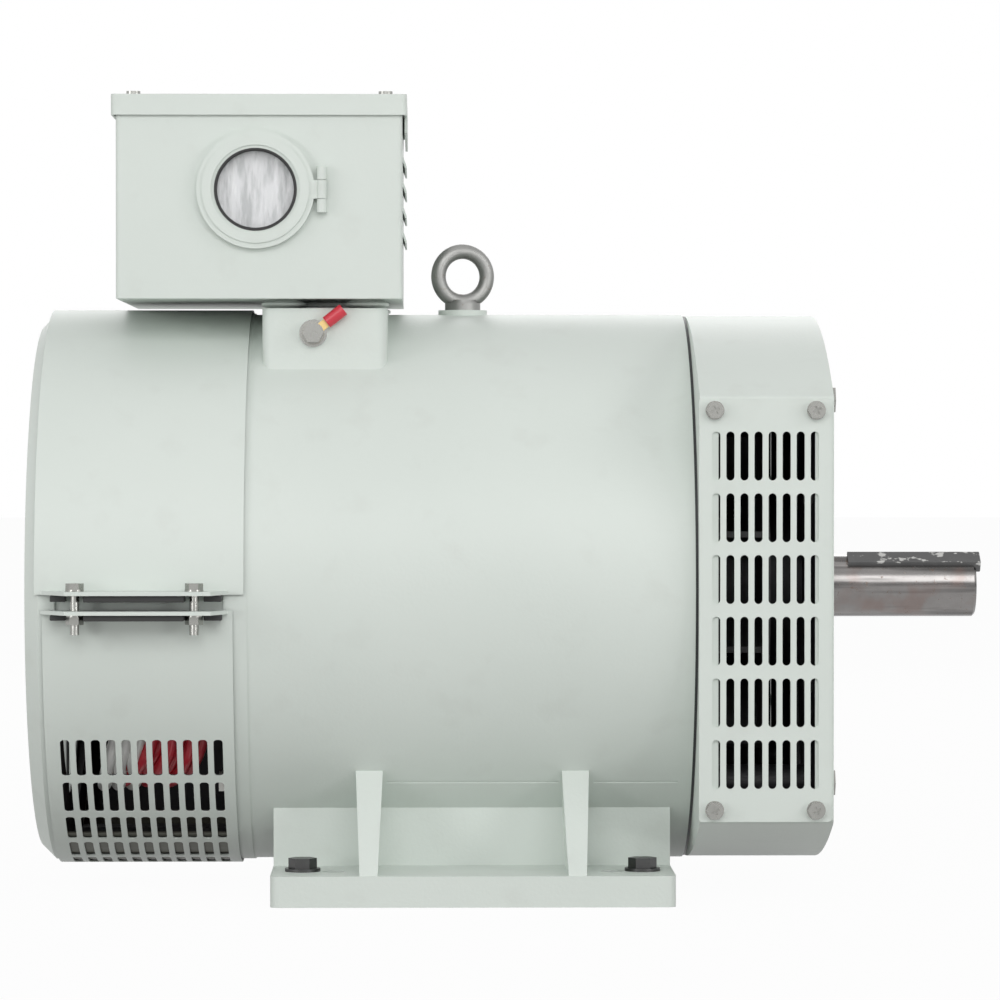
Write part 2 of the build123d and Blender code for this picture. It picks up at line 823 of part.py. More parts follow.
with BuildPart() as terminal_box:
    with BuildSketch(Plane.XY.offset(box_floor)):
        with Locations((box_center_x, 0)):
            RectangleRounded(box_size_x, 2 * box_half_depth, 3)
    extrude(amount=box_rim - box_floor)
    with BuildSketch(Plane.XY.offset(box_floor + box_sheet)):
        with Locations((box_center_x, 0)):
            Rectangle(box_size_x - 2 * box_sheet, 2 * (box_half_depth - box_sheet))
    extrude(amount=box_rim - box_floor - 2 * box_sheet, mode=Mode.SUBTRACT)
    with BuildSketch(Plane.XY.offset(box_rim - 3)):
        with Locations((box_center_x, 0)):
            Rectangle(box_size_x - 28, 2 * box_half_depth - 28)
    extrude(amount=5, mode=Mode.SUBTRACT)
    with BuildSketch(Plane.XY.offset(box_floor - 1)):
        with Locations((neck_center_x + 4, 0)):
            Rectangle(46, 76)
    extrude(amount=5, mode=Mode.SUBTRACT)
    round_rod([front_plane(-box_half_depth - 1, window_x, window_z)], window_inner, -4, Mode.SUBTRACT)
    round_rod([front_plane(box_half_depth + 1, -175, 425)], 16, 4, Mode.SUBTRACT)
    # Pressed cooling louvres on the drive-end side
    for row in range(4):
        slit_z = box_floor + box_height * (0.3275 + 0.1254 * row)
        with BuildSketch(Plane.YZ.offset(box_max_x - 3)):
            with Locations((0, slit_z - 2)):
                Rectangle(120, 3)
        extrude(amount=4, mode=Mode.SUBTRACT)
        with BuildSketch(Plane.XZ.offset(-61)):
            with BuildLine():
                Polyline(
                    (box_max_x - 0.5, slit_z + 6),
                    (box_max_x + 2.6, slit_z - 2.6),
                    (box_max_x + 2.6, slit_z - 4),
                    (box_max_x + 1.6, slit_z - 4),
                    (box_max_x - 0.5, slit_z + 2),
                    close=True,
                )
            make_face()
        extrude(amount=122)
    # Tapped corners for the lid screws
    with BuildSketch(Plane.XY.offset(box_rim)):
        with Locations((box_center_x, 0)):
            with GridLocations(box_size_x - 22, 2 * box_half_depth - 22, 2, 2):
                Circle(2.1)
    extrude(amount=-4, mode=Mode.SUBTRACT)
save(terminal_box.part, "terminal_box")

with BuildPart() as box_lid:
    with BuildSketch(Plane.XY.offset(box_rim - 12)):
        with Locations((box_center_x, 0)):
            RectangleRounded(box_size_x + 2 * lid_overhang, 2 * (box_half_depth + lid_overhang), 3.5)
    extrude(amount=12 + lid_sheet)
    with BuildSketch(Plane.XY.offset(box_rim - 12)):
        with Locations((box_center_x, 0)):
            skirt_gap = lid_overhang - lid_sheet
            RectangleRounded(box_size_x + 2 * skirt_gap, 2 * (box_half_depth + skirt_gap), 2)
    extrude(amount=12, mode=Mode.SUBTRACT)
    with BuildSketch(Plane.XY.offset(box_rim - 22)):
        with Locations((box_max_x + lid_overhang - lid_sheet / 2, 0)):
            Rectangle(lid_sheet, 200)
    extrude(amount=14)
    with BuildSketch(Plane.XY.offset(box_rim)):
        with Locations((box_center_x, 0)):
            with GridLocations(box_size_x - 22, 2 * box_half_depth - 22, 2, 2):
                Circle(2.6)
    extrude(amount=4, mode=Mode.SUBTRACT)
save(box_lid.part, "box_lid")

lid_spots = [
    Plane(origin=(box_center_x + sx * (box_size_x - 22) / 2, sy * (box_half_depth - 11), box_rim + lid_sheet))
    for sx in (-1, 1)
    for sy in (-1, 1)
]
with BuildPart() as lid_screws:
    round_rod(lid_spots, 4.6, 2.6)
    round_rod(lid_spots, 2, -8)
    for spot in lid_spots:
        with BuildSketch(spot.offset(2.6)):
            Rectangle(5, 1, rotation=30)
            Rectangle(1, 5, rotation=30)
        extrude(amount=-1.4, mode=Mode.SUBTRACT)
save(lid_screws.part, "lid_screws")

with BuildPart() as cable_grommet:
    round_rod([front_plane(131, -175, 425)], 20, 6)
    round_rod([front_plane(125, -175, 425)], 15.9, 2)
    round_rod([front_plane(123, -175, 425)], 20, 3)
    round_rod([front_plane(131, -175, 425)], 11, 11, Mode.SUBTRACT)
save(cable_grommet.part, "cable_grommet")

# ---- window, meter and the parts inside the box ----

window_face = -box_half_depth - 0.3
with BuildPart() as window_frame:
    round_rod([front_plane(window_face, window_x, window_z)], window_outer, 5.2, hole=window_inner)
    with BuildSketch(front_plane(window_face - 5.2, window_x, window_z)):
        Circle(window_outer - 3.5)
        Circle(window_inner + 2, mode=Mode.SUBTRACT)
    extrude(amount=1.2)
    round_rod([front_plane(window_face, window_x, window_z)], window_inner + 2.5, 3, Mode.SUBTRACT)
    # The hinge ear and its barrel
    with BuildSketch(Plane.XY.offset(window_z - 6)):
        with Locations((hinge_x - 4.5, hinge_y + 1)):
            Rectangle(9, 3.4)
        with Locations((hinge_x, hinge_y)):
            Circle(3.2)
            Circle(1.55, mode=Mode.SUBTRACT)
    extrude(amount=12)
    round_rod([Plane.XY.offset(window_z - 7).move(Location((hinge_x, hinge_y, 0)))], 1.55, 14, Mode.SUBTRACT)
    # Room for the fixed knuckles
    for z in (window_z - 16, window_z + 6.3):
        with BuildSketch(Plane.XY.offset(z)):
            with Locations((hinge_x, hinge_y)):
                Circle(4.2)
        extrude(amount=9.7, mode=Mode.SUBTRACT)
save(window_frame.part, "window_frame")

with BuildPart() as window_glass:
    round_rod([front_plane(window_face, window_x, window_z)], window_inner + 2.4, 2.4)
save(window_glass.part, "window_glass")

with BuildPart() as window_hinge:
    for z in (window_z - 15, window_z + 6.4):
        with BuildSketch(Plane.XY.offset(z)):
            with Locations((hinge_x, hinge_y)):
                Circle(3.2)
            with Locations((hinge_x + 1.6, (hinge_y - box_half_depth) / 2)):
                Rectangle(3.2, -box_half_depth - hinge_y)
        extrude(amount=8.6)
    with BuildSketch(Plane.XY.offset(window_z - 15)):
        with Locations((hinge_x, hinge_y)):
            Circle(1.5)
    extrude(amount=30)
save(window_hinge.part, "window_hinge")

meter_z = window_z
with BuildPart() as meter_case:
    with BuildSketch(front_plane(-88, window_x, meter_z)):
        RectangleRounded(72, 72, 4)
    extrude(amount=35)
    round_rod([front_plane(-110, window_x, meter_z)], 30, 14, Mode.SUBTRACT)
save(meter_case.part, "meter_case")

with BuildPart() as meter_dial:
    round_rod([front_plane(-110, window_x, meter_z)], 29.9, 1)
    round_rod([front_plane(-111, window_x, meter_z - 14)], 1.2, 4)
save(meter_dial.part, "meter_dial")

with BuildPart() as meter_pointer:
    with BuildSketch(front_plane(-112.5, window_x, meter_z - 14)):
        Circle(3)
        with Locations(Location((-12, 12, 0), (0, 0, 135))):
            Rectangle(34, 1.2)
        Circle(1.25, mode=Mode.SUBTRACT)
    extrude(amount=0.8)
save(meter_pointer.part, "meter_pointer")

with BuildPart() as terminal_board:
    with BuildSketch(Plane.XY.offset(404)):
        with Locations((-178, 20)):
            Rectangle(60, 150)
    extrude(amount=8)
    with BuildSketch(Plane.XY.offset(box_floor + box_sheet)):
        with Locations((-178, 20)):
            with GridLocations(44, 134, 2, 2):
                Circle(5)
    extrude(amount=404 - box_floor - box_sheet)
    with BuildSketch(Plane.XY.offset(412)):
        with Locations((-178, 20)):
            with GridLocations(1, 28, 1, 5):
                Circle(3.1)
    extrude(amount=-8, mode=Mode.SUBTRACT)
save(terminal_board.part, "terminal_board")

stud_spots = [Plane(origin=(-178, 20 + 28 * n, 412)) for n in (-2, -1, 0, 1, 2)]
with BuildPart() as terminal_studs:
    hex_rod(stud_spots, 10, 5)
    round_rod(stud_spots, 3, 18)
    round_rod(stud_spots, 3, -7)
save(terminal_studs.part, "terminal_studs")

with BuildPart() as regulator:
    with BuildSketch(Plane.XY.offset(box_floor + box_sheet)):
        with Locations((-96, 78)):
            Rectangle(80, 60)
    extrude(amount=14)
    with BuildSketch(Plane.XY.offset(box_floor + box_sheet + 14)):
        with Locations((-96, 78)):
            with GridLocations(9, 1, 8, 1):
                Rectangle(2.4, 60)
    extrude(amount=16)
save(regulator.part, "regulator")
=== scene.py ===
import math

import bpy
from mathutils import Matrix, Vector, noise


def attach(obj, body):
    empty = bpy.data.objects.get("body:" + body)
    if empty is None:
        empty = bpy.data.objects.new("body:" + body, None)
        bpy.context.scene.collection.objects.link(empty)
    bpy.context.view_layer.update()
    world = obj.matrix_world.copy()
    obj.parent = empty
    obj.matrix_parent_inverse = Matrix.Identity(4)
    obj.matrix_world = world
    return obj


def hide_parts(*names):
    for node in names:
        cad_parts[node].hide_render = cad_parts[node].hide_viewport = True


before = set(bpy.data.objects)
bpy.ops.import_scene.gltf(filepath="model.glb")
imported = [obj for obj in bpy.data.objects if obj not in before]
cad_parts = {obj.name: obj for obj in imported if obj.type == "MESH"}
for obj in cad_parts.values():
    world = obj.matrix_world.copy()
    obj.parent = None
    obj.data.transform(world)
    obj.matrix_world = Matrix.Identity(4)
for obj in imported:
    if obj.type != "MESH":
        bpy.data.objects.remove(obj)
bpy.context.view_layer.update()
print("solids loaded")

cameraSettings = {
    "place": (-0.034, -3.2, 0.299),
    "aim": (0.0170, 1.0, -0.01275),
    "lens": 169.4,
    "sensor": 36,
    "reach": 50,
}

bpy.ops.object.select_all(action="DESELECT")
bpy.ops.object.camera_add(location=cameraSettings["place"])
viewCamera = bpy.context.object
viewCamera.name = "viewCamera"
viewCamera.rotation_mode = "QUATERNION"
viewCamera.rotation_quaternion = Vector(cameraSettings["aim"]).to_track_quat("-Z", "Y")
viewCamera.data.lens = cameraSettings["lens"]
viewCamera.data.sensor_width = cameraSettings["sensor"]
viewCamera.data.clip_end = cameraSettings["reach"]
bpy.context.scene.camera = viewCamera
bpy.context.scene.view_settings.view_transform = "Standard"
print("camera placed")


class Wire:
    # wraps a socket, so that sums and products on it add Math nodes
    def __init__(self, tree, socket):
        self.tree = tree
        self.socket = socket

    def math(self, operation, *others):
        made = self.tree.nodes.new("ShaderNodeMath")
        made.operation = operation
        for place, value in enumerate((self, *others)):
            if isinstance(value, Wire):
                self.tree.links.new(value.socket, made.inputs[place])
            else:
                made.inputs[place].default_value = value
        return Wire(self.tree, made.outputs[0])

    def __add__(self, other):
        return self.math("ADD", other)

    def __sub__(self, other):
        return self.math("SUBTRACT", other)

    def __mul__(self, other):
        return self.math("MULTIPLY", other)

    def __truediv__(self, other):
        return self.math("DIVIDE", other)

    def __rsub__(self, other):
        return self.math("MULTIPLY", -1).math("ADD", other)

    __radd__ = __add__
    __rmul__ = __mul__

    def clamped(self):
        return self.math("MAXIMUM", 0).math("MINIMUM", 1)

    def step(self, low, high):
        # 0 under low, 1 over high, straight between them
        return ((self - low) / (high - low)).clamped()


class Finish:
    # one material and the nodes that colour it
    sockets = {
        "color": "Base Color",
        "rough": "Roughness",
        "metal": "Metallic",
        "coat": "Coat Weight",
        "coatRough": "Coat Roughness",
        "alpha": "Alpha",
        "ior": "IOR",
    }

    def __init__(self, name):
        self.material = bpy.data.materials.new(name)
        self.material.use_nodes = True
        self.tree = self.material.node_tree
        self.shader = self.tree.nodes["Principled BSDF"]
        self.place = self.node("ShaderNodeTexCoord").outputs["Object"]

    def put(self, target, value):
        # a wire or socket is linked, a number or colour is written on the socket itself
        if isinstance(value, Wire):
            self.tree.links.new(value.socket, target)
        elif isinstance(value, bpy.types.NodeSocket):
            self.tree.links.new(value, target)
        elif isinstance(value, tuple) and target.type == "RGBA":
            target.default_value = (*value, 1)
        else:
            target.default_value = value

    def node(self, kind, settings=None, values=None):
        made = self.tree.nodes.new(kind)
        for key, value in (settings or {}).items():
            setattr(made, key, value)
        for key, value in (values or {}).items():
            self.put(made.inputs[key], value)
        return made

    def axis(self, letter):
        split = self.node("ShaderNodeSeparateXYZ", None, {"Vector": self.place})
        return Wire(self.tree, split.outputs[letter])

    def noise(self, scale, detail=2.0, stretch=(1, 1, 1), roughness=0.5):
        mapped = self.node("ShaderNodeMapping", None, {"Vector": self.place, "Scale": stretch})
        made = self.node(
            "ShaderNodeTexNoise",
            None,
            {"Vector": mapped.outputs[0], "Scale": scale, "Detail": detail, "Roughness": roughness},
        )
        return Wire(self.tree, made.outputs[0])

    def blend(self, mask, first, second):
        # inputs 0, 6 and 7 of a colour Mix node are its factor, A and B
        made = self.node("ShaderNodeMix", {"data_type": "RGBA"}, {0: mask, 6: first, 7: second})
        return made.outputs[2]

    def bump(self, height, strength, distance):
        made = self.node(
            "ShaderNodeBump", None, {"Height": height, "Strength": strength, "Distance": distance}
        )
        self.put(self.shader.inputs["Normal"], made.outputs[0])

    def feed(self, **values):
        for key, value in values.items():
            self.put(self.shader.inputs[self.sockets[key]], value)


paintSettings = {
    "color": (0.660, 0.708, 0.668),
    "worn": (0.625, 0.675, 0.635),
    "wornScale": 7,
    "wornFade": (0.35, 0.7),
    "wornShare": 0.6,
    "grime": (0.45, 0.46, 0.42),
    "grimeScale": 38,
    "grimeFade": (0.58, 0.72),
    "grimeShare": 0.10,
    "rough": 0.44,
    "roughSpread": 0.10,
    "coat": 0.06,
    "coatRough": 0.25,
    "grain": 420.0,
    "swell": 26,
    "swellShare": 1.6,
    "bumpStrength": 0.5,
    "grainDepth": 0.00022,
}

# where the faces inside the housings, which get painted shade, and the dark gasket joint begin and end:
# each pair is a short fade, in metres
shadeAndJointSettings = {
    "color": (0.020, 0.020, 0.022),
    "shaftHeight": 0.2,
    "halfWidth": (0.1890, 0.1905),
    "driveStart": (0.1465, 0.1490),
    "driveEnd": (0.2225, 0.2255),
    "crownDrop": 0.1689,
    "crown": (0.3490, 0.3505),
    "keelRise": 0.348,
    "keel": (0.5270, 0.5285),
    "gasketStart": (0.1424, 0.1431),
    "gasketEnd": (0.1448, 0.1450),
    "gasket": (0.1832, 0.1836),
    "rear": (0.1810, 0.1818),
    "rearStart": (-0.2745, -0.2735),
    "band": (0.18585, 0.1863),
}


def shadeAndJointMask(paint, shadedHousing):
    # 1 on the faces inside this housing, where no light gets in, so that shade is painted there in near
    # black
    x = paint.axis("X")
    y = paint.axis("Y")
    up = paint.axis("Z") - shadeAndJointSettings["shaftHeight"]
    radius = (y * y + up * up).math("SQRT")
    if shadedHousing == "rear":
        return (1 - radius.step(*shadeAndJointSettings["rear"])) * x.step(*shadeAndJointSettings["rearStart"])
    if shadedHousing == "band":
        return 1 - radius.step(*shadeAndJointSettings["band"])
    overCrown = up + shadeAndJointSettings["crownDrop"]
    overKeel = up - shadeAndJointSettings["keelRise"]
    crown = (y * y + overCrown * overCrown).math("SQRT")
    keel = (y * y + overKeel * overKeel).math("SQRT")
    mask = 1 - y.math("ABSOLUTE").step(*shadeAndJointSettings["halfWidth"])
    mask = mask * x.step(*shadeAndJointSettings["driveStart"])
    mask = mask * (1 - x.step(*shadeAndJointSettings["driveEnd"]))
    mask = mask * (1 - crown.step(*shadeAndJointSettings["crown"]))
    mask = mask * (1 - keel.step(*shadeAndJointSettings["keel"]))
    joint = x.step(*shadeAndJointSettings["gasketStart"]) * (1 - x.step(*shadeAndJointSettings["gasketEnd"]))
    # the gasket line against the frame is dark as well
    return mask.math("MAXIMUM", joint * (1 - radius.step(*shadeAndJointSettings["gasket"])))


def makePaint(name, castStrength, shadedHousing=None):
    paint = Finish(name)
    worn = paint.noise(paintSettings["wornScale"], 3).step(*paintSettings["wornFade"])
    grime = paint.noise(paintSettings["grimeScale"], 4).step(*paintSettings["grimeFade"])
    tone = paint.blend(worn * paintSettings["wornShare"], paintSettings["color"], paintSettings["worn"])
    tone = paint.blend(grime * paintSettings["grimeShare"], tone, paintSettings["grime"])
    if shadedHousing:
        # painted shade: the faces inside the housing are coloured near black
        tone = paint.blend(shadeAndJointMask(paint, shadedHousing), tone, shadeAndJointSettings["color"])
    grain = paint.noise(paintSettings["grain"], 2)
    swell = paint.noise(paintSettings["swell"], 2)
    paint.feed(
        color=tone,
        rough=paintSettings["rough"] + grain * paintSettings["roughSpread"],
        coat=paintSettings["coat"],
        coatRough=paintSettings["coatRough"],
    )
    height = grain * castStrength + swell * (castStrength * paintSettings["swellShare"])
    paint.bump(height, paintSettings["bumpStrength"], paintSettings["grainDepth"])
    return paint.material


castPaint = makePaint("castPaint", 1.0)
drivePaint = makePaint("drivePaint", 0.8, "drive")
rearPaint = makePaint("rearPaint", 0.8, "rear")
bandPaint = makePaint("bandPaint", 0.45, "band")
sheetPaint = makePaint("sheetPaint", 0.35)

# colour and roughness of each metal
metalSettings = {
    "zinc": ((0.35, 0.35, 0.33), 0.27),
    "darkBolt": ((0.085, 0.085, 0.085), 0.38),
    "forged": ((0.31, 0.31, 0.30), 0.46),
    "turned": ((0.25, 0.24, 0.235), 0.22),
    "keyBar": ((0.12, 0.12, 0.12), 0.30),
    "brass": ((0.72, 0.53, 0.24), 0.32),
    "castAlloy": ((0.10, 0.10, 0.10), 0.60),
    "lamination": ((0.13, 0.13, 0.14), 0.55),
}
metalWear = {
    "stainScale": 90,
    "stainFade": (0.35, 0.75),
    "stainShare": 0.5,
    "stainDark": 0.72,
    "oilReflectionStretch": (5, 95, 95),
    "oilReflectionFade": (0.42, 0.56),
    "oilReflectionDark": 0.30,
    "warmOil": (0.20, 0.12, 0.10),
    "warmScale": 38,
    "warmFade": (0.52, 0.66),
    "warmShare": 0.35,
    "rubbed": (0.62, 0.62, 0.60),
    "rubbedScale": 150,
    "rubbedStretch": (0.7, 1, 1),
    "rubbedFade": (0.57, 0.62),
    "rust": (0.16, 0.07, 0.03),
    "rustScale": 260,
    "rustFade": (0.63, 0.70),
    "rustRough": 0.4,
    "roughSpread": 0.15,
    "streakScale": 60,
    "streakStretch": (30, 0.6, 0.6),
    "streakDepth": 0.0002,
}


def darker(color, share):
    return tuple(part * share for part in color)


def makeMetal(name, streak=0.0, rust=0.0, bands=0.0, scuffs=0.0):
    color, rough = metalSettings[name]
    wear = metalWear
    metal = Finish(name)
    stain = metal.noise(wear["stainScale"], 4)
    stained = stain.step(*wear["stainFade"]) * wear["stainShare"]
    tone = metal.blend(stained, color, darker(color, wear["stainDark"]))
    if bands:  # bands that run along the bar, partly oil and partly painted reflection
        oilAndReflection = metal.noise(1.0, 3, wear["oilReflectionStretch"], 0.6).step(*wear["oilReflectionFade"])
        tone = metal.blend(oilAndReflection * bands, tone, darker(color, wear["oilReflectionDark"]))
        warm = metal.noise(wear["warmScale"], 3).step(*wear["warmFade"])
        tone = metal.blend(warm * wear["warmShare"], tone, wear["warmOil"])
    if scuffs:  # bright rubbed spots
        rubbed = metal.noise(wear["rubbedScale"], 3, wear["rubbedStretch"], 0.6)
        tone = metal.blend(rubbed.step(*wear["rubbedFade"]) * scuffs, tone, wear["rubbed"])
    if rust:
        specks = metal.noise(wear["rustScale"], 4, roughness=0.6).step(*wear["rustFade"]) * rust
        tone = metal.blend(specks, tone, wear["rust"])
        metal.feed(color=tone, metal=1 - specks, rough=rough + specks * wear["rustRough"])
    else:
        metal.feed(color=tone, metal=1.0, rough=rough + (stain - 0.5) * wear["roughSpread"])
    if streak:
        lines = metal.noise(wear["streakScale"], 2, wear["streakStretch"])
        metal.bump(lines, streak, wear["streakDepth"])
    return metal.material


zincSteel = makeMetal("zinc")
forgedSteel = makeMetal("forged", rust=0.35)
turnedSteel = makeMetal("turned", streak=0.30, rust=0.30, bands=0.85)
keySteel = makeMetal("keyBar", streak=0.20, scuffs=0.75)
darkSteel = makeMetal("darkBolt")
brassMetal = makeMetal("brass")
castAlloy = makeMetal("castAlloy")
laminatedSteel = makeMetal("lamination", streak=0.8)


plainSettings = {
    "shadeScale": 60,
    "shadeFade": (0.3, 0.8),
    "shadeShare": 0.35,
    "shadeDark": 0.75,
    "lumpDepth": 0.001,
}


def makePlain(name, color, rough, coat=0.0, lumps=0.0, lumpScale=80):
    plain = Finish(name)
    shade = plain.noise(plainSettings["shadeScale"], 3).step(*plainSettings["shadeFade"])
    shade = shade * plainSettings["shadeShare"]
    tone = plain.blend(shade, color, darker(color, plainSettings["shadeDark"]))
    plain.feed(color=tone, rough=rough, coat=coat)
    if lumps:
        plain.bump(plain.noise(lumpScale, 3), lumps, plainSettings["lumpDepth"])
    return plain.material


varnishedCopper = makePlain("varnishedCopper", (0.20, 0.055, 0.03), 0.35, 0.5, 0.7, 160)
resinBoard = makePlain("resinBoard", (0.16, 0.07, 0.035), 0.5)
blackPlastic = makePlain("blackPlastic", (0.022, 0.022, 0.024), 0.4)
carbonBlock = makePlain("carbonBlock", (0.05, 0.05, 0.052), 0.6)
# painted shade: near black finish for the tray that darkens the belly slots
shadeTrayFinish = makePlain("shadeTrayFinish", (0.085, 0.085, 0.065), 0.6)
darkRubber = makePlain("darkRubber", (0.03, 0.03, 0.03), 0.7)
redSleeve = makePlain("redSleeve", (0.60, 0.028, 0.050), 0.36, 0.3)
whiteSleeve = makePlain("whiteSleeve", (0.88, 0.88, 0.86), 0.42, 0.2)
# painted shade: near black foam that keeps the grille slots dark
shadeFilterFoam = makePlain("shadeFilterFoam", (0.018, 0.018, 0.018), 0.9, 0.0, 1.0, 900)

# milky wrapping film with upright folds, its colour painted with shade in the fold troughs and with
# highlights on the fold crests
milkSettings = {
    "foldScale": 16,
    "foldStretch": (9, 1, 1.6),
    "shade": (0.50, 0.51, 0.52),
    "milk": (0.88, 0.88, 0.90),
    "milkFade": (0.36, 0.50),
    "paintedGleam": (0.97, 0.97, 0.98),
    "paintedGleamFade": (0.57, 0.62),
    "foldBump": (0.8, 0.002),
}
filmFinish = Finish("filmPlastic")
filmFold = filmFinish.noise(milkSettings["foldScale"], 4, milkSettings["foldStretch"], 0.6)
milkMask = filmFold.step(*milkSettings["milkFade"])
# painted shade: the fold troughs are coloured grey
filmTone = filmFinish.blend(milkMask, milkSettings["shade"], milkSettings["milk"])
# painted highlight: the fold crests are coloured near white
filmTone = filmFinish.blend(filmFold.step(*milkSettings["paintedGleamFade"]), filmTone, milkSettings["paintedGleam"])
filmFinish.feed(color=filmTone, rough=0.2 + filmFold * 0.1, coat=0.5)
filmFinish.bump(filmFold, *milkSettings["foldBump"])
filmPlastic = filmFinish.material

glassFinish = Finish("windowGlass")
glassFinish.feed(color=(0.95, 0.97, 0.97), rough=0.03, alpha=0.14, ior=1.45)
windowGlass = glassFinish.material

wornBy = {
    castPaint: ["frame", "de_bearing_cap", "nde_bearing_cap", "box_pads"],
    drivePaint: ["de_end_shield"],
    rearPaint: ["nde_end_shield"],
    bandPaint: ["upper_band", "lower_band"],
    sheetPaint: [
        "grille_front", "grille_rear", "terminal_box", "box_lid", "window_frame", "window_hinge",
    ],
    zincSteel: [
        "grille_spring_washers", "grille_screws", "de_tie_bolts", "nde_tie_bolts", "de_cap_screws",
        "nde_cap_screws", "clamp_washers", "clamp_bolts", "clamp_nuts", "earth_washers",
        "earth_screw", "lid_screws",
    ],
    forgedSteel: [
        "lifting_eye", "de_bearing_outer", "nde_bearing_outer", "de_bearing_inner",
        "nde_bearing_inner",
    ],
    turnedSteel: ["shaft"],
    keySteel: ["shaft_key"],
    darkSteel: ["jack_bolts", "jack_washers"],
    brassMetal: ["slip_rings", "earth_lug", "terminal_studs"],
    castAlloy: ["fan", "regulator"],
    laminatedSteel: ["stator_core", "rotor_core"],
    varnishedCopper: ["stator_windings", "field_coils"],
    resinBoard: ["slip_ring_bush", "terminal_board", "brush_holder"],
    blackPlastic: ["brush_caps", "meter_case"],
    carbonBlock: ["brush_1", "brush_2"],
    darkRubber: ["cable_grommet"],
    redSleeve: ["earth_sleeve", "red_leads", "meter_pointer"],
    whiteSleeve: ["white_leads", "meter_dial"],
    windowGlass: ["window_glass"],
}
for material, nodeNames in wornBy.items():
    for nodeName in nodeNames:
        solid = bpy.data.objects[nodeName]
        solid.data.materials.clear()
        solid.data.materials.append(material)
print("finishes on the solids")

wireSettings = {"radius": 0.0042, "roundness": 5, "smoothness": 10, "shaftHeight": 0.2}

# each bend is (shift along the shaft, extra shift per wire, depth, degrees under the front
# horizontal, extra degrees per wire); even and odd wires start from their own depth
redSettings = {
    "count": 6,
    "first": -0.1705,
    "pitch": 0.0066,
    "depths": (0.1520, 0.1565),
    "bends": (
        (0, 0, -0.004, -30, 0),
        (0, 0, 0, -6, 0),
        (0, 0, 0.006, 12, 0),
        (-0.001, 0, 0.0165, 26, 0),
        (-0.005, 0, 0.0190, 36, 0),
        (-0.015, 0.0010, 0.0180, 45, 0),
        (-0.023, 0.0015, 0.0080, 51, 0),
        (-0.020, 0, -0.0120, 54, 0),
    ),
}
whiteSettings = {
    "count": 3,
    "first": -0.2120,
    "pitch": 0.0082,
    "depths": (0, 0),
    "bends": (
        (0.004, 0, 0.150, -28, 0),
        (0.004, 0, 0.156, 0, 0),
        (0.002, 0, 0.170, 22, 0),
        (-0.001, 0, 0.175, 32, 0),
        (-0.012, 0, 0.1745, 39, 2),
        (-0.004, 0.003, 0.1735, 47, 0),
        (-0.016, 0, 0.162, 53, 0),
        (-0.010, 0, 0.142, 56, 0),
    ),
}


def aroundShaft(x, radius, below):
    # a point at this radius, this many degrees under the front horizontal
    turn = math.radians(below)
    return Vector((x, -radius * math.cos(turn), wireSettings["shaftHeight"] - radius * math.sin(turn)))


def bentWire(points):
    curve = bpy.data.curves.new("wirePath", "CURVE")
    curve.dimensions = "3D"
    curve.bevel_depth = wireSettings["radius"]
    curve.bevel_resolution = wireSettings["roundness"]
    curve.use_fill_caps = True
    curve.resolution_u = wireSettings["smoothness"]
    spline = curve.splines.new("NURBS")
    spline.points.add(len(points) - 1)
    for number, point in enumerate(points):
        spline.points[number].co = (*point, 1)
    spline.use_endpoint_u = True
    spline.order_u = 4
    wire = bpy.data.objects.new("wirePath", curve)
    bpy.context.collection.objects.link(wire)
    return wire


def wireBundle(settings, name, material, body):
    wires = []
    for count in range(settings["count"]):
        start = settings["first"] - settings["pitch"] * count
        base = settings["depths"][count % 2]
        wires.append(bentWire([
            aroundShaft(start + shift - fan * count, base + depth, below + spread * count)
            for shift, fan, depth, below, spread in settings["bends"]
        ]))
    bpy.ops.object.select_all(action="DESELECT")
    for wire in wires:
        wire.select_set(True)
    bpy.context.view_layer.objects.active = wires[0]
    bpy.ops.object.convert(target="MESH")
    bpy.ops.object.join()
    bundle = bpy.context.object
    bundle.name = name
    bundle.data.materials.clear()
    bundle.data.materials.append(material)
    bpy.ops.object.shade_smooth_by_angle(angle=math.radians(40))
    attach(bundle, body)
    bpy.ops.object.select_all(action="DESELECT")
    return bundle


redWires = wireBundle(redSettings, "redWires", redSleeve, "stator")
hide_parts("red_leads")
whiteWires = wireBundle(whiteSettings, "whiteWires", whiteSleeve, "stator")
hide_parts("white_leads")
print("wires laid")

# crumpled film over the meter, a square grid drawn in to a disc and folded upright
filmSettings = {
    "center": (-0.1412, -0.1195, 0.4623),
    "radius": 0.0285,
    "crease": 0.0035,
    "cells": 90,
    "foldsAcross": 62,
    "foldsUp": 17,
}
bpy.ops.mesh.primitive_grid_add(
    x_subdivisions=filmSettings["cells"],
    y_subdivisions=filmSettings["cells"],
    size=2 * filmSettings["radius"],
    location=(0, 0, 0),
)
meterFilm = bpy.context.object
meterFilm.name = "meterFilm"
filmCenter = Vector(filmSettings["center"])
for vertex in meterFilm.data.vertices:
    flat = Vector((vertex.co.x, vertex.co.y, 0))
    longest = max(abs(flat.x), abs(flat.y), 1e-9)
    flat = flat * (longest / max(flat.length, 1e-9))
    upright = Vector((flat.x * filmSettings["foldsAcross"], flat.y * filmSettings["foldsUp"], 0))
    fold = noise.ridged_multi_fractal(upright, 0.9, 2.1, 4, 0.9, 2.0) * 0.35
    lift = filmSettings["crease"] * (fold - 0.4)
    vertex.co = filmCenter + Vector((flat.x, -lift, flat.y))
meterFilm.data.materials.append(filmPlastic)
bpy.ops.object.shade_smooth()
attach(meterFilm, "stator")
bpy.ops.object.select_all(action="DESELECT")
print("meter wrapped")


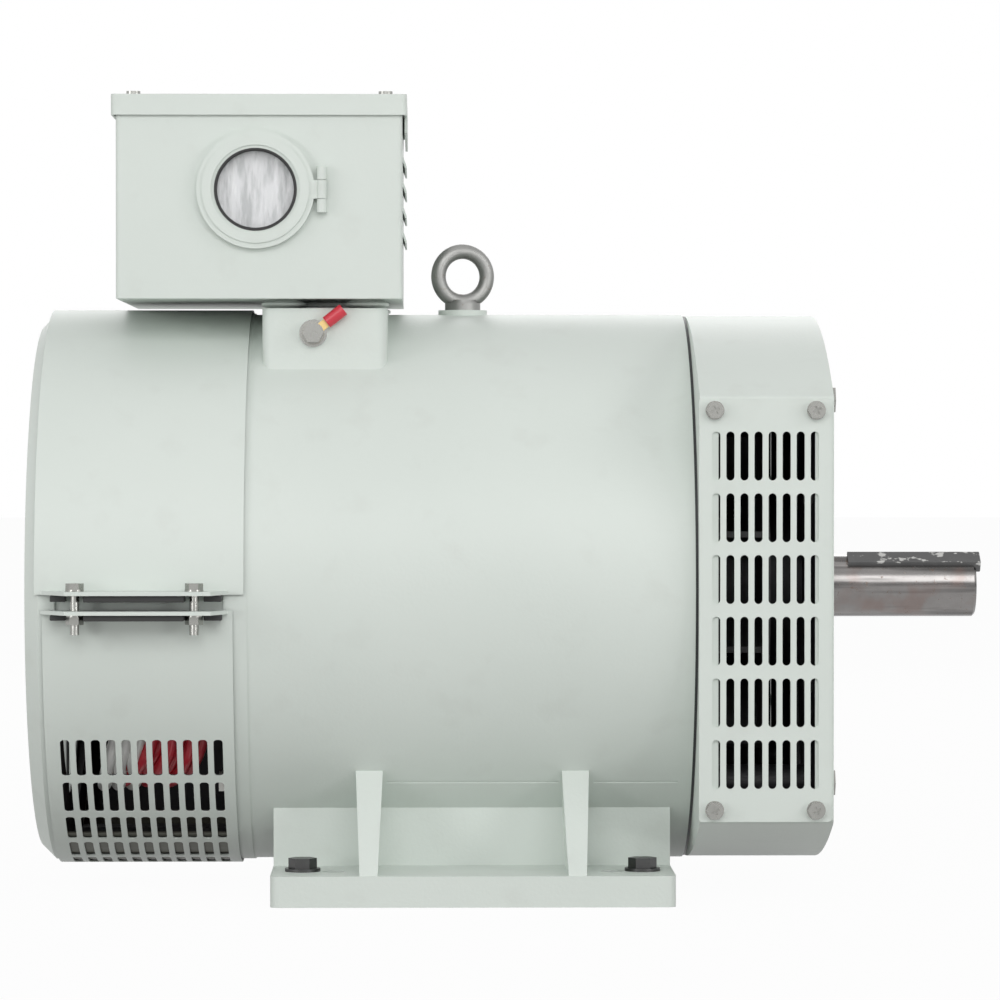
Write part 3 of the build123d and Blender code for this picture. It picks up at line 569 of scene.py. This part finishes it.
def turnedPiece(name, profile, axis, center, body, material, turn=(0, 360), steps=96, smooth=True):
    # turns a closed outline of (along, radius) points about an axis through center, over a
    # stretch of degrees counted right-handed from +Y about X and from +Z about Y
    start, end = (math.radians(degrees) for degrees in turn)
    whole = turn[1] - turn[0] == 360
    bpy.ops.mesh.primitive_circle_add(
        vertices=len(profile), fill_type="NOTHING" if whole else "NGON", location=(0, 0, 0)
    )
    piece = bpy.context.object
    piece.name = name
    piece.data.name = name
    for vertex, (along, radius) in zip(piece.data.vertices, profile):
        level, side = radius * math.cos(end), radius * math.sin(end)  # spin runs back from here
        vertex.co = (along, level, side) if axis == "X" else (side, along, level)
    bpy.ops.object.mode_set(mode="EDIT")
    bpy.ops.mesh.select_all(action="SELECT")
    bpy.ops.mesh.spin(
        steps=steps,
        angle=end - start,
        center=(0, 0, 0),
        axis=(1, 0, 0) if axis == "X" else (0, 1, 0),
    )
    bpy.ops.mesh.select_all(action="SELECT")
    bpy.ops.mesh.remove_doubles(threshold=0.00001)
    bpy.ops.mesh.normals_make_consistent(inside=False)
    bpy.ops.object.mode_set(mode="OBJECT")
    for vertex in piece.data.vertices:
        vertex.co += Vector(center)
    piece.data.materials.append(material)
    if smooth:
        bpy.ops.object.shade_smooth_by_angle(angle=math.radians(35))
    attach(piece, body)
    bpy.ops.object.select_all(action="DESELECT")
    return piece


# black seal that holds the window glass in its ring, and is also painted shadow where the ring shades
# the glass
sealShadeSettings = {
    "center": (-0.1412, 0, 0.4623),
    "front": -0.1310,
    "back": -0.1278,
    "inner": 0.0250,
    "outer": 0.02695,
    "lead": 0.0008,
    "chamfer": 0.0010,
}
turnedPiece(
    "windowSealShade",
    [
        (sealShadeSettings["back"], sealShadeSettings["inner"]),
        (sealShadeSettings["front"] + sealShadeSettings["lead"], sealShadeSettings["inner"]),
        (sealShadeSettings["front"], sealShadeSettings["inner"] + sealShadeSettings["chamfer"]),
        (sealShadeSettings["front"], sealShadeSettings["outer"]),
        (sealShadeSettings["back"], sealShadeSettings["outer"]),
    ],
    "Y",
    sealShadeSettings["center"],
    "window",
    darkRubber,
)

# sheet cone that leads the cooling air from the frame into the fan
inletSettings = {
    "center": (0, 0, 0.2),
    "start": 0.1462,
    "end": 0.1580,
    "wide": 0.1505,
    "narrow": 0.1190,
    "sheet": 0.0015,
}
turnedPiece(
    "fanInlet",
    [
        (inletSettings["start"], inletSettings["wide"]),
        (inletSettings["end"], inletSettings["narrow"]),
        (inletSettings["end"], inletSettings["narrow"] - inletSettings["sheet"]),
        (inletSettings["start"], inletSettings["wide"] - inletSettings["sheet"]),
    ],
    "X",
    inletSettings["center"],
    "stator",
    castAlloy,
)

# dark tray inside the belly of the slotted band, a painted shade that keeps the belly slots dark, bent
# round the shaft from the front to the rear
shadeTraySettings = {
    "center": (0, 0, 0.2),
    "inner": 0.1842,
    "outer": 0.1852,
    "start": -0.2700,
    "end": -0.1585,
    "turn": (-120, -60),
    "steps": 22,
}
turnedPiece(
    "bellyShadeTray",
    [
        (shadeTraySettings["start"], shadeTraySettings["inner"]),
        (shadeTraySettings["end"], shadeTraySettings["inner"]),
        (shadeTraySettings["end"], shadeTraySettings["outer"]),
        (shadeTraySettings["start"], shadeTraySettings["outer"]),
    ],
    "X",
    shadeTraySettings["center"],
    "stator",
    shadeTrayFinish,
    turn=shadeTraySettings["turn"],
    steps=shadeTraySettings["steps"],
    smooth=False,
)
print("seal, fan inlet and tray turned")


def blockPiece(name, place, size, bevel, body, material):
    bpy.ops.mesh.primitive_cube_add(size=1, location=(0, 0, 0))
    piece = bpy.context.object
    piece.name = name
    bpy.ops.object.mode_set(mode="EDIT")
    bpy.ops.mesh.select_all(action="SELECT")
    bpy.ops.transform.resize(value=size)
    bpy.ops.transform.translate(value=place)
    bpy.ops.mesh.bevel(offset=bevel, segments=2)
    bpy.ops.object.mode_set(mode="OBJECT")
    piece.data.materials.append(material)
    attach(piece, body)
    bpy.ops.object.select_all(action="DESELECT")
    return piece


# dark foam mat behind the grille that faces away from the window side, a painted shade that keeps the
# grille slots dark
shadeMatSettings = {"place": (0.188, 0.1875, 0.190), "size": (0.0612, 0.0030, 0.2310), "bevel": 0.0008}
blockPiece(
    "shadeFilterMat", shadeMatSettings["place"], shadeMatSettings["size"], shadeMatSettings["bevel"], "stator", shadeFilterFoam
)

# dark strips under the clamp flanges, between the bolts, a painted shadow under each flange; each run
# is (start, end, depth)
shadowStripSettings = {
    "root": 0.1881,
    "bevel": 0.0006,
    "levels": ((0.1958, 0.1999), (0.1838, 0.1874)),
    "runs": ((-0.2700, -0.2600, 0.0100), (-0.2480, -0.1840, 0.0215), (-0.1720, -0.1605, 0.0100)),
}
for bottom, top in shadowStripSettings["levels"]:
    for side in (-1, 1):
        for start, end, depth in shadowStripSettings["runs"]:
            blockPiece(
                "flangeShadowStrip",
                ((start + end) / 2, side * (shadowStripSettings["root"] + depth / 2), (bottom + top) / 2),
                (end - start, depth, top - bottom),
                shadowStripSettings["bevel"],
                "stator",
                darkRubber,
            )
print("mat and sealing strips in place")

stageSettings = {
    "floorSize": 30.0,
    "floorHeight": -0.0005,
    "floorColor": (0.46, 0.46, 0.45),
    "whiteShare": 0.97,
    "ambient": 0.40,
}


def seenRays(tree):
    # 1 for rays that look at the backdrop, straight, in a reflection or through glass
    path = tree.nodes.new("ShaderNodeLightPath")
    straight = Wire(tree, path.outputs["Is Camera Ray"])
    mirrored = Wire(tree, path.outputs["Is Glossy Ray"])
    through = Wire(tree, path.outputs["Is Transmission Ray"])
    return straight.math("MAXIMUM", mirrored).math("MAXIMUM", through)


def whiteStage(name):
    # looks white, but lights the object only as a pale floor does
    made = bpy.data.materials.new(name)
    made.use_nodes = True
    tree = made.node_tree
    tree.nodes.clear()
    output = tree.nodes.new("ShaderNodeOutputMaterial")
    mixer = tree.nodes.new("ShaderNodeMixShader")
    diffuse = tree.nodes.new("ShaderNodeBsdfDiffuse")
    glow = tree.nodes.new("ShaderNodeEmission")
    diffuse.inputs["Color"].default_value = (*stageSettings["floorColor"], 1)
    glow.inputs["Color"].default_value = (1, 1, 1, 1)
    seen = seenRays(tree) * stageSettings["whiteShare"]
    tree.links.new(seen.socket, mixer.inputs[0])
    tree.links.new(diffuse.outputs[0], mixer.inputs[1])
    tree.links.new(glow.outputs[0], mixer.inputs[2])
    tree.links.new(mixer.outputs[0], output.inputs["Surface"])
    return made


def stageSheet(name, place, size, material):
    bpy.ops.mesh.primitive_plane_add(size=1, location=(0, 0, 0))
    sheet = bpy.context.object
    sheet.name = name
    bpy.ops.object.mode_set(mode="EDIT")
    bpy.ops.mesh.select_all(action="SELECT")
    bpy.ops.transform.resize(value=(*size, 1))
    bpy.ops.transform.translate(value=place)
    bpy.ops.object.mode_set(mode="OBJECT")
    sheet.data.materials.append(material)
    bpy.ops.object.select_all(action="DESELECT")


floorSize = (stageSettings["floorSize"], stageSettings["floorSize"])
stageSheet("floorPlane", (0, 0, stageSettings["floorHeight"]), floorSize, whiteStage("floorWhite"))

# dark sheet under each foot, so that the bolt holes look down into shade
shadeSettings = {"size": (0.246, 0.096), "side": 0.1425, "height": -0.0002}
for side in (-1, 1):
    shadePlace = (0, side * shadeSettings["side"], shadeSettings["height"])
    stageSheet("footShade", shadePlace, shadeSettings["size"], blackPlastic)

world = bpy.data.worlds.new("studio")
bpy.context.scene.world = world
world.use_nodes = True
skyTree = world.node_tree
sky = skyTree.nodes["Background"]
skyMix = skyTree.nodes.new("ShaderNodeMix")
skyMix.data_type = "FLOAT"
skyMix.inputs[2].default_value = stageSettings["ambient"]
skyMix.inputs[3].default_value = 1.0
skyTree.links.new(seenRays(skyTree).socket, skyMix.inputs[0])
skyTree.links.new(skyMix.outputs[0], sky.inputs["Strength"])
sky.inputs["Color"].default_value = (1, 1, 1, 1)

# place, target, width, height and watts of each lamp
lampSettings = {
    "keyLamp": ((0.10, -2.55, 1.45), (0, 0, 0.25), 2.4, 1.2, 28.0),
    "leftLamp": ((-2.10, -1.30, 0.90), (0, 0, 0.25), 0.8, 0.8, 9.0),
    "rightLamp": ((2.10, -1.30, 1.10), (0, 0, 0.25), 0.8, 0.8, 9.0),
    "topLamp": ((0.0, -0.3, 2.6), (0, 0, 0.3), 1.6, 1.6, 3.0),
    "lowLeftLamp": ((-1.80, -2.10, 0.22), (0, 0, 0.12), 0.6, 0.3, 6.0),
    "lowRightLamp": ((1.80, -2.10, 0.22), (0, 0, 0.12), 0.6, 0.3, 6.0),
    "rearLamp": ((0.0, 2.50, 1.40), (0, 0, 0.20), 2.4, 1.0, 18.0),
}
for lampName, (place, target, wide, high, power) in lampSettings.items():
    bpy.ops.object.light_add(type="AREA", location=place)
    lamp = bpy.context.object
    lamp.name = lampName
    lamp.data.shape = "RECTANGLE"
    lamp.data.size = wide
    lamp.data.size_y = high
    lamp.data.energy = power
    lamp.rotation_mode = "QUATERNION"
    lamp.rotation_quaternion = (Vector(target) - Vector(place)).to_track_quat("-Z", "Y")
print("stage lit")
